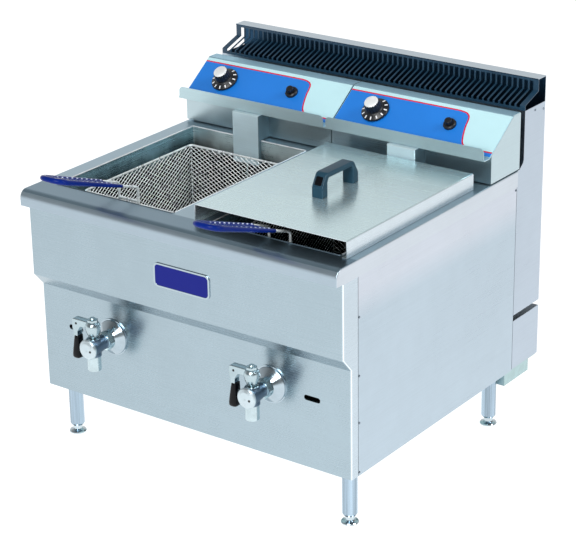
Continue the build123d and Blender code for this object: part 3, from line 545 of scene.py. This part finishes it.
def rounded(points, radius, steps=6, closed=True):
    """Polyline with its corners rounded; radius is one number or one per corner."""
    pts = [Vector(p) for p in points]
    n = len(pts)
    out = []
    for i, p in enumerate(pts):
        r = radius[i] if isinstance(radius, (list, tuple)) else radius
        if r <= 0 or (not closed and i in (0, n - 1)):
            out.append(p)
            continue
        a = (pts[i - 1] - p)
        b = (pts[(i + 1) % n] - p)
        la, lb = a.length, b.length
        a.normalize()
        b.normalize()
        ang = a.angle(b)
        if ang > math.pi - 1e-4:
            out.append(p)
            continue
        d = min(r / math.tan(ang / 2), la * 0.499, lb * 0.499)
        rr = d * math.tan(ang / 2)
        mid = (a + b).normalized()
        c = p + mid * (rr / math.sin(ang / 2))
        u = (p + a * d - c).normalized()
        w = (p + b * d - c).normalized()
        sweep = u.angle(w)
        for k in range(steps + 1):
            q = k / steps
            v = (u * math.sin((1 - q) * sweep) + w * math.sin(q * sweep)) / math.sin(sweep)
            out.append(c + v * rr)
    return out


def round_rect(w, h, r, cx=0.0, cy=0.0, steps=7):
    pts = [Vector((cx + sx * w / 2, cy + sy * h / 2)) for sx, sy in ((-1, -1), (1, -1), (1, 1), (-1, 1))]
    return rounded([p.to_3d() for p in pts], r, steps)


def plate(outlines, thick, bevel, matrix, res=3):
    """Flat plate with holes and rounded edges; outlines are in its own plane, in millimetres."""
    cu = bpy.data.curves.new("outline", "CURVE")
    cu.dimensions = "2D"
    cu.fill_mode = "BOTH"
    cu.extrude = thick / 2 - bevel
    cu.bevel_depth = bevel
    cu.bevel_resolution = res
    cu.offset = -bevel
    for pts in outlines:
        sp = cu.splines.new("POLY")
        sp.points.add(len(pts) - 1)
        for q, p in zip(sp.points, pts):
            q.co = (p[0], p[1], 0.0, 1.0)
        sp.use_cyclic_u = True
    ob = bpy.data.objects.new("outline", cu)
    scene.collection.objects.link(ob)
    me = bpy.data.meshes.new_from_object(ob.evaluated_get(bpy.context.evaluated_depsgraph_get()))
    bpy.data.objects.remove(ob)
    bpy.data.curves.remove(cu)
    me.transform(matrix)
    return me


def axes(origin, x, y, z):
    m = Matrix((x, y, z)).transposed().to_4x4()
    m.translation = Vector(origin)
    return m


# ---------------------------------------------------------------- baskets
BW, BL, B_TOP, B_BOT = 207.0, 291.0, 446.0, 321.9
TANK_X, TANK_W, TANK_L, TANK_MID = 163.0, 250.0, 369.0, 240.0
B_FRONT = {"left": 98.0, "right": 74.0}
TILT = math.radians(19.0)


def stretched(g, o, u, v, n, w, h, tilts=(-0.70, -0.70), wide=1.0, thick=0.45, pitch=7.8, lean=0.63):
    """One wall of slit-and-stretched sheet: flat strands in two families, each leaning out of the wall; n is the inner side."""
    o, u, v, n = Vector(o), Vector(u), Vector(v), Vector(n)
    ln = math.hypot(1.0, lean)
    for fam, tilt in zip((1, -1), tilts):
        d = (u + v * (fam * lean)) / ln
        p = (v - u * (fam * lean)) / ln
        across = p * math.cos(tilt) + n * math.sin(tilt)
        out = n * math.cos(tilt) - p * math.sin(tilt)
        for i in range(-int(math.ceil(lean * w / pitch)), int(math.ceil((h + lean * w) / pitch)) + 1):
            c = (i + 0.5) * pitch
            if fam > 0:
                lo, hi = max(0.0, -c / lean), min(w, (h - c) / lean)
            else:
                lo, hi = max(0.0, (c - h) / lean), min(w, c / lean)
            if hi - lo < 1.5:
                continue
            rings = []
            for t in (lo, hi):
                q = o + u * t + v * (c + fam * lean * t)
                rings.append([q + across * (x * wide / 2) + out * (y * thick / 2) for x, y in
                              ((-0.8, -1), (0.8, -1), (1, -0.55), (1, 0.55), (0.8, 1), (-0.8, 1), (-1, 0.55), (-1, -0.55))])
            g.rings(rings)


for side, s in (("left", -1), ("right", 1)):
    cx, yf = s * TANK_X, B_FRONT[side]
    yb = yf + BL
    inset = 1.9
    x0, x1, ya, yz = cx - BW / 2 + inset, cx + BW / 2 - inset, yf + inset, yb - inset
    zf, zt = B_BOT + 2.0, B_TOP
    g = Geo()
    stretched(g, (x0, ya, zf), (0, 1, 0), (0, 0, 1), (1, 0, 0), yz - ya, zt - zf, (-0.70, -1.5))
    stretched(g, (x1, yz, zf), (0, -1, 0), (0, 0, 1), (-1, 0, 0), yz - ya, zt - zf, (-1.5, -0.70))
    stretched(g, (x1, ya, zf), (-1, 0, 0), (0, 0, 1), (0, 1, 0), x1 - x0, zt - zf, (-0.70, -1.3))
    stretched(g, (x0, yz, zf), (1, 0, 0), (0, 0, 1), (0, -1, 0), x1 - x0, zt - zf, (-1.3, -0.70))
    stretched(g, (x0, ya, zf), (1, 0, 0), (0, 1, 0), (0, 0, 1), x1 - x0, yz - ya)
    for xx in (x0, x1):
        for yy in (ya, yz):
            g.tube([(xx, yy, zf), (xx, yy, zt)], 0.5, 8)
    for xx in (x0, x1):
        g.tube([(xx, ya, zf), (xx, yz, zf)], 1.1, 8)
    for yy in (ya, yz):
        g.tube([(x0, yy, zf), (x1, yy, zf)], 1.1, 8)
    g.build(side + "_basket_mesh", ["wire"], side + "_basket", [side + "_basket"], sharp=50)

    # rim, handle loop and floor wires
    g = Geo()
    ring = [Vector((p.x, p.y, B_TOP + 2.3)) for p in round_rect(BW - 3.4, BL - 3.4, 5.0, cx, (yf + yb) / 2)]
    g.tube(ring, 1.9, 12, closed=True)
    wy, zb = yf - 3.1, 481.0
    d = Vector((0, -math.cos(TILT), math.sin(TILT)))
    tip = 190.0
    for q in (-1, 1):
        xw = cx + q * 20.5
        bend = Vector((xw, wy, zb))
        path = rounded([(xw, wy, 432.0), bend, bend + d * tip], 9.0, 8, closed=False)
        g.tube(path, 2.3, 12)
    for zr in (433.5, 456.0):
        g.tube([(cx - 20.5, wy, zr), (cx + 20.5, wy, zr)], 2.3, 12)
    for q in (-1, 1):
        g.tube([(cx + q * 50, yf + 1.0, B_BOT + 1.0), (cx + q * 50, yb - 1.0, B_BOT + 1.0)], 1.0, 8)
    g.build(side + "_basket_wires", ["wire"], side + "_basket", [side + "_basket_frame"])

    # moulded grip: two round rails, a ladder of flat rungs between them and a pierced pad at the tip
    z = d
    x = Vector((1, 0, 0))
    y = z.cross(x)
    o = Vector((cx, wy, zb))
    flat = axes(o + z * 125.0, x, z, x.cross(z))
    g = Geo()
    outline = rounded([(-21.4, -80.6, 0), (-21.4, 74.6, 0), (21.4, 74.6, 0), (21.4, -80.6, 0)], [0, 17, 17, 0], 10, closed=False)
    rings = []
    for i, p in enumerate(outline):
        t = (outline[min(i + 1, len(outline) - 1)] - outline[max(i - 1, 0)]).normalized()
        side_way = flat.to_3x3() @ Vector((t.y, -t.x, 0))
        c = flat @ p
        k = 0.62 if i in (0, len(outline) - 1) else 1.0
        rings.append([c + side_way * (math.cos(q) * 5.6 * k) - y * (math.sin(q) * 4.7 * k) for q in (2 * math.pi * (j + 0.5) / 20 for j in range(20))])
    g.rings(rings)
    pad = rounded([(-17.5, 38, 0), (17.5, 38, 0), (19.5, 58, 0), (14, 74.5, 0), (-14, 74.5, 0), (-19.5, 58, 0)], [4, 4, 8, 12, 12, 8], 6)
    ovals = [round_rect(9.0, 13.0, 4.2, q * 7.4, yy, 6) for q in (-1, 1) for yy in (48.5, 64.0)]
    g.mesh(plate([pad] + ovals, 6.6, 1.3, flat, 3))
    for i in range(10):
        g.mesh(plate([round_rect(38.0, 4.0, 1.2, 0, -72.0 + i * 12.0, 4)], 4.0, 0.8, flat, 2))
    # pale ribs on the rails' inner sides; their light material is a painted glint
    for q in (-1, 1):
        for i in range(10):
            at = o + z * (53.0 + i * 12.0) + x * (q * 16.4)
            g.tube([at - y * 3.6, at + y * 3.6], 1.5, 8, hint=x, mat=1)
    g.build(side + "_grip_moulding", ["navy", "rib"], side + "_basket", [side + "_basket_grip"], sharp=50)

# ---------------------------------------------------------------- lid handle
HX = 160.5
side_on = axes((HX, 0, 0), Vector((0, 1, 0)), Vector((0, 0, 1)), Vector((1, 0, 0)))
prof = rounded([(176, 498.6, 0), (176, 516, 0), (188.5, 538, 0), (264.5, 538, 0), (277, 516, 0), (277, 498.6, 0), (262.5, 498.6, 0),
                (262.5, 523, 0), (259.0, 529.5, 0), (194.0, 529.5, 0), (190.5, 523, 0), (190.5, 498.6, 0)],
               [0, 7, 9, 9, 7, 0, 0, 3, 3, 3, 3, 0], 6)
g = Geo()
g.mesh(plate([prof], 22.0, 2.2, side_on, 4))
for sgn, yb0 in ((1, 176.0), (-1, 277.0)):
    # raised lip of the pocket in each slanting end
    e = Vector((0, 12.5 * sgn, 22.0)).normalized()
    nrm = Vector((0, -e.z * sgn, abs(e.y)))
    c = Vector((HX, yb0 + 5.4 * sgn, 525.4)) + nrm * 0.2
    m = axes(c, Vector((1, 0, 0)), e, Vector((1, 0, 0)).cross(e))
    g.mesh(plate([round_rect(16.6, 18.0, 3.0), round_rect(13.2, 14.8, 2.2)], 1.6, 0.6, m, 2))
    g.mesh(plate([round_rect(13.8, 15.4, 2.4)], 0.9, 0.2, m, 1), 1)
g.build("lid_handle_moulding", ["grey", "soot"], "lid", ["lid_handle"])

# ---------------------------------------------------------------- taps
TAP_X, TAP_Y, TAP_Z, HUB_Z = 164.0, -10.0, 227.0, 262.0
for side, s in (("left", -1), ("right", 1)):
    tx = s * TAP_X
    g = Geo()
    up = (0, 0, 1)
    bell = [(0, 244.4), (6.8, 244.4), (7.4, 245.0), (8.9, 248.5), (11.2, 254), (12.6, 259), (12.9, 263.5), (12.4, 267), (11.0, 269.8), (9.2, 271.6), (7.6, 272.2), (0, 272.4)]
    g.lathe(bell, (tx, TAP_Y, 0), up, 48)
    g.lathe([(0, 272.0), (8.2, 272.0), (9.2, 272.8), (9.2, 276.2), (8.3, 277.0), (0, 277.0)], (tx, TAP_Y, 0), up, 6, turn=0.3)
    g.lathe([(0, 277.0), (5.0, 277.0), (5.0, 278.6), (4.2, 279.6), (2.4, 280.1), (0, 280.2)], (tx, TAP_Y, 0), up, 24)
    face = axes((tx, TAP_Y, 0), Vector((1, 0, 0)), Vector((0, 0, 1)), Vector((0, -1, 0)))
    arm = rounded([(0, 272.0, 0), (-40.5, 272.0, 0), (-40.5, 254.0, 0), (-38.6, 250.0, 0), (-38.4, 226.0, 0), (-30.0, 226.0, 0),
                   (-29.2, 250.0, 0), (-24.0, 259.6, 0), (0, 259.6, 0)], [0, 4, 3, 4, 2, 2, 5, 8, 0], 5)
    g.mesh(plate([arm], 13.0, 1.4, face, 3))
    # set screw in the arm's end, drawn as a dark disc: painted shade of its socket
    g.lathe([(2.1, -0.4), (2.1, 0.2), (1.8, 0.3), (0, 0.3)], (tx - 31.5, TAP_Y - 6.5, 264.0), (0, -1, 0), 20, 1)
    g.build(side + "_tap_arm", ["lever", "dark"], side + "_tap", [side + "_tap_lever"])

    g = Geo()
    rings = []
    for zz, hx, hy, dx in ((242.0, 4.2, 6.2, 1.2), (241.2, 5.2, 7.0, 1.2), (236, 5.7, 7.4, 1.0), (226, 6.6, 8.0, 0.4), (214, 7.6, 8.6, -0.5),
                           (206, 8.1, 8.9, -0.9), (202.4, 7.8, 8.6, -1.0), (200.7, 6.5, 7.4, -1.0), (200.1, 4.2, 4.8, -1.0)):
        c = Vector((tx - 33.9 + dx, TAP_Y, zz))
        ring = []
        for j in range(28):
            q = 2 * math.pi * j / 28
            cq, sq = math.cos(q), math.sin(q)
            ring.append(c + Vector((math.copysign(abs(cq) ** 0.62, cq) * hx, math.copysign(abs(sq) ** 0.62, sq) * hy, 0)))
        rings.append(ring)
    g.rings(rings)
    g.build(side + "_tap_sleeve", ["soot"], side + "_tap", [side + "_tap_grip"], sharp=60)

    # small turned boss on the front cap, right of its middle, all in the dark material: painted shade standing for a
    # small hole there
    g = Geo()
    g.lathe([(2.0, 6.2), (2.0, 7.2), (1.6, 7.6), (1.2, 7.6), (1.1, 7.1), (0, 7.1)], (tx + 8.0, TAP_Y - 12.5, TAP_Z - 1.0), (0, -1, 0), 20, 1)
    g.build(side + "_cap_screw", ["chrome", "dark"], "body", (), sharp=20)

# ---------------------------------------------------------------- fascia prints, knobs and collars
SLOPE = math.radians(35.0)
U = Vector((1, 0, 0))
V = Vector((0, math.cos(SLOPE), math.sin(SLOPE)))
W = U.cross(V)
FOOT = Vector((0, 441.0, 518.5))


def on_face(x, s, h=0.0):
    return FOOT + U * x + V * s + W * h


def circle(cx, cy, r, n=40):
    return [(cx + r * math.cos(2 * math.pi * i / n), cy + r * math.sin(2 * math.pi * i / n), 0) for i in range(n)]


def smooth_line(points, n=10):
    """Catmull-Rom through the points."""
    p = [Vector(q) for q in points]
    p = [p[0] * 2 - p[1]] + p + [p[-1] * 2 - p[-2]]
    out = []
    for a, b, c, e in zip(p, p[1:], p[2:], p[3:]):
        for i in range(n):
            t = i / n
            out.append(0.5 * ((2 * b) + (c - a) * t + (2 * a - 5 * b + 4 * c - e) * t * t + (3 * b - a - 3 * c + e) * t ** 3))
    out.append(p[-2])
    return out


KNOB = {"left": -254.0, "right": 70.5}
IGN = {"left": -108.0, "right": 218.0}
KS, IS = 46.5, 49.0
SWEEP = {"left": 2.5, "right": 7.5}
for side, ux in (("left", -160.0), ("right", 160.0)):
    xk, xi = KNOB[side], IGN[side]
    hole_k, hole_i = circle(xk, KS, 6.4), circle(xi, IS, 8.8)
    xl, xr = ux - 158.6, ux + 158.6
    g = Geo()
    film = [(xl, 2, 0), (xr, 2, 0), (xr, 90, 0), (xl, 90, 0)]
    g.mesh(plate([film, hole_k, hole_i], 0.3, 0.05, axes(on_face(0, 0, 0.15), U, V, W), 1), 0)
    # blue field with a swept right-hand end, edged by a red line that runs on along the foot
    u0 = ux + SWEEP[side]
    edge = smooth_line([(u0 + 42, 82.0, 0), (u0 + 56, 81.6, 0), (u0 + 68, 79.2, 0), (u0 + 75.2, 73.0, 0), (u0 + 77.6, 64.0, 0), (u0 + 78.8, 54.0, 0),
                        (u0 + 81.4, 42.0, 0), (u0 + 85.4, 29.0, 0), (u0 + 90.0, 19.0, 0), (u0 + 97.0, 13.2, 0), (u0 + 107, 11.3, 0), (xr - 14, 11.0, 0), (xr - 0.3, 11.0, 0)], 8)
    line = [Vector((xl + 0.3, 82.0, 0))] + edge
    blue = [(xl + 0.3, 2.3, 0)] + [tuple(p) for p in line] + [(xr - 0.3, 2.3, 0)]
    blue.reverse()
    g.mesh(plate([blue, hole_k, hole_i], 0.08, 0.0, axes(on_face(0, 0, 0.33), U, V, W), 0), 1)
    left_off, right_off = [], []
    for i, p in enumerate(line):
        t = (line[min(i + 1, len(line) - 1)] - line[max(i - 1, 0)]).normalized()
        nrm = Vector((-t.y, t.x, 0))
        left_off.append(p + nrm * 1.3)
        right_off.append(p - nrm * 1.3)
    band = [tuple(p) for p in left_off] + [tuple(p) for p in reversed(right_off)]
    g.mesh(plate([band], 0.08, 0.0, axes(on_face(0, 0, 0.40), U, V, W), 0), 2)
    g.build(side + "_label_print", ["white", "blue", "red"], "body", [side + "_label_film"], sharp=20)

    # thermostat knob: dished skirt with a plain scale, fluted body and a spun cap
    g = Geo()
    base = on_face(xk, KS)
    g.lathe([(0, 2.4), (23.8, 2.4), (24.9, 3.4), (25.0, 4.6), (24.6, 5.6), (23.6, 6.6), (16.8, 8.9), (15.4, 9.8), (14.6, 11.2), (14.4, 11.4)],
            base, W, 72, 0, xdir=U)

    def flute(q, r, h):
        return r * (1.0 - 0.045 * max(0.0, math.cos(18 * q)) ** 0.5)
    g.lathe([(14.4, 11.2), (13.9, 16), (13.4, 24.4), (13.0, 25.6), (12.2, 26.3)], base, W, 180, 0, shape=flute, xdir=U)
    g.lathe([(12.6, 25.6), (12.2, 26.3), (11.8, 26.4), (11.8, 26.9), (11.3, 27.3), (7.0, 27.5), (0, 27.5)], base, W, 64, 1, xdir=U)
    slope = math.atan2(8.9 - 6.6, 23.6 - 16.8)
    for i in range(9):
        q = math.radians(64 - i * 29.0)
        out = U * math.cos(q) + V * math.sin(q)
        tang = -U * math.sin(q) + V * math.cos(q)
        down = out * math.cos(slope) - W * math.sin(slope)
        up_n = (out * math.sin(slope) + W * math.cos(slope)).normalized()
        c = base + out * 20.9 + W * (6.6 + (23.6 - 20.9) * math.tan(slope) + 0.06)
        g.mesh(plate([round_rect(5.6, 2.3, 0.6)], 0.25, 0.05, axes(c, down, tang, up_n), 1), 2)
    g.mesh(plate([round_rect(1.4, 9.0, 0.6)], 0.4, 0.1, axes(base + V * 13.95 + W * 19.5, U, W, V), 1), 2)
    g.build(side + "_knob_turned", ["black", "cap", "tick"], side + "_knob", [side + "_knob"], sharp=40)

    # knurled ring round the igniter
    g = Geo()

    def knurl(q, r, h):
        return r + (0.25 if int(q * 36 / math.pi) % 2 else 0.0)
    g.lathe([(8.0, 0.45), (11.0, 0.45), (11.3, 0.9), (11.3, 4.4), (10.8, 5.2), (9.2, 6.3), (7.1, 6.3), (6.9, 5.6)], on_face(xi, IS), W, 72, 0, shape=knurl, xdir=U)
    g.build(side + "_igniter_ring", ["black"], "body", (), sharp=30)

# ---------------------------------------------------------------- ground welds round the tank mouths
for side, s in (("left", -1), ("right", 1)):
    g = Geo()
    mouth = [Vector((p.x, p.y, 469.0)) for p in round_rect(TANK_W + 0.4, TANK_L + 0.4, 3.0, s * TANK_X, TANK_MID, 4)]
    fore = TANK_MID - TANK_L / 2 + 3.5
    loop = []
    for p, q in zip(mouth, mouth[1:] + mouth[:1]):
        loop.append(p)
        if (p.y > fore) != (q.y > fore):
            loop.append(Vector((p.x, fore + 1.0, 469.0)))
    k = next(i for i, p in enumerate(loop) if p.y > fore and loop[i - 1].y <= fore)
    loop = loop[k:] + loop[:k]
    n = sum(p.y > fore for p in loop)
    # the front stretch of each weld takes a darker copy of the weld colour as painted shade
    g.tube(loop[:n], 1.15, 10)
    g.tube([loop[n - 1]] + loop[n:] + [loop[0]], 1.0, 10, mat=1)
    g.build(side + "_mouth_weld", ["weld", "shaded_weld"], "body", (), sharp=60)

# ---------------------------------------------------------------- plain badge plate
g = Geo()
front = axes((6.0, 18.0, 375.0), Vector((1, 0, 0)), Vector((0, 0, 1)), Vector((0, -1, 0)))
g.mesh(plate([round_rect(114.0, 42.0, 9.0, 0, 0, 10), round_rect(107.6, 35.6, 6.4, 0, 0, 10)], 1.8, 0.4, front @ Matrix.Translation((0, 0, 0.9)), 3), 0)
g.mesh(plate([round_rect(109.0, 37.0, 7.0, 0, 0, 10)], 1.2, 0.1, front @ Matrix.Translation((0, 0, 0.6)), 1), 1)
g.build("badge_enamel", ["flange", "enamel"], "body", ["badge_plate"])

# ---------------------------------------------------------------- floor, light and camera
floor_mat = Look("floor_paper")
floor_mat.set(Metallic=0.0, Roughness=0.9, Specular_IOR_Level=0.1, Emission_Strength=0.95)
floor_mat.b.inputs["Emission Color"].default_value = (1, 1, 1, 1)
floor_mat.colour(floor_mat.tint(floor_mat.noise((2, 2, 2), 3, 0.5), rgb(146, 148, 150), rgb(154, 155, 156)))
me = bpy.data.meshes.new("floor")
me.from_pydata([(-40, -40, 0), (40, -40, 0), (40, 40, 0), (-40, 40, 0)], [], [(0, 1, 2, 3)])
me.materials.append(floor_mat.mat)
floor = bpy.data.objects.new("floor", me)
scene.collection.objects.link(floor)

world = bpy.data.worlds.new("studio")
world.use_nodes = True
wt = world.node_tree
wt.nodes.clear()
wo = wt.nodes.new("ShaderNodeOutputWorld")
wb = wt.nodes.new("ShaderNodeBackground")
wc = wt.nodes.new("ShaderNodeTexCoord")
ws = wt.nodes.new("ShaderNodeSeparateXYZ")
wt.links.new(wc.outputs["Generated"], ws.inputs[0])
wm = wt.nodes.new("ShaderNodeMapRange")
wm.inputs[1].default_value = -1.0
wm.inputs[2].default_value = 1.0
wt.links.new(ws.outputs[2], wm.inputs[0])


def sweep(stops):
    """Grey by the sine of the elevation."""
    n = wt.nodes.new("ShaderNodeValToRGB")
    e = n.color_ramp.elements
    e[0].position, e[0].color = 0.0, (1, 1, 1, 1)
    e[1].position, e[1].color = 1.0, (stops[-1][1],) * 3 + (1,)
    for sine, grey in stops[:-1]:
        k = e.new((sine + 1) / 2)
        k.color = (grey, grey, grey, 1)
    wt.links.new(wm.outputs[0], n.inputs[0])
    return n.outputs[0]


# a pale sweep behind the fryer, a dim room before it and a dim ceiling
behind = sweep(((-0.01, 0.95), (0.10, 0.84), (0.30, 0.86), (0.45, 0.86), (0.60, 0.48), (0.80, 0.30), (1.0, 0.25)))
before = sweep(((-0.01, 0.95), (0.06, 0.45), (0.20, 0.22), (0.60, 0.22), (0.80, 0.26), (1.0, 0.25)))
wd = wt.nodes.new("ShaderNodeVectorMath")
wd.operation = "DOT_PRODUCT"
wd.inputs[1].default_value = (-0.598, 0.801, 0.0)
wt.links.new(wc.outputs["Generated"], wd.inputs[0])
wf = wt.nodes.new("ShaderNodeMapRange")
wf.inputs[1].default_value = -0.4
wf.inputs[2].default_value = 0.6
wt.links.new(wd.outputs["Value"], wf.inputs[0])
wx = wt.nodes.new("ShaderNodeMix")
wx.data_type = "RGBA"
wt.links.new(wf.outputs[0], wx.inputs[0])
wt.links.new(before, wx.inputs[6])
wt.links.new(behind, wx.inputs[7])
wt.links.new(wx.outputs[2], wb.inputs[0])
wb.inputs[1].default_value = 0.9
wt.links.new(wb.outputs[0], wo.inputs[0])
scene.world = world


def softbox(name, place, target, w, h, power, colour=(1, 1, 1)):
    l = bpy.data.lights.new(name, "AREA")
    l.shape = "RECTANGLE"
    l.size, l.size_y = w, h
    l.energy = power
    l.color = colour
    o = bpy.data.objects.new(name, l)
    scene.collection.objects.link(o)
    o.location = place
    o.rotation_mode = "QUATERNION"
    o.rotation_quaternion = (Vector(target) - Vector(place)).to_track_quat("-Z", "Y")


softbox("key", (0.9, -2.6, 3.0), (0, 0, 0.3), 1.6, 1.6, 85)
softbox("front_card", (0.75, -3.1, 1.55), (0, 0, 0.3), 1.0, 0.6, 30)
softbox("right_back", (3.1, 0.6, 2.75), (0, 0, 0.4), 1.4, 1.4, 50)

cam = bpy.data.cameras.new("camera")
cam.sensor_width = 36.0
cam.lens = 129.31
cam.shift_x, cam.shift_y = 0.0285, 0.0170
cam.clip_end = 50
co = bpy.data.objects.new("camera", cam)
scene.collection.objects.link(co)
az, el, roll = (math.radians(a) for a in (36.738, 22.581, -1.0754))
look = Vector((-math.sin(az) * math.cos(el), math.cos(az) * math.cos(el), -math.sin(el)))
right = Vector((math.cos(az), math.sin(az), 0))
over = right.cross(look)
co.matrix_world = axes(P(1945.343, -2340.462, 1636.285), right * math.cos(roll) + over * math.sin(roll),
                       over * math.cos(roll) - right * math.sin(roll), -look)
scene.camera = co
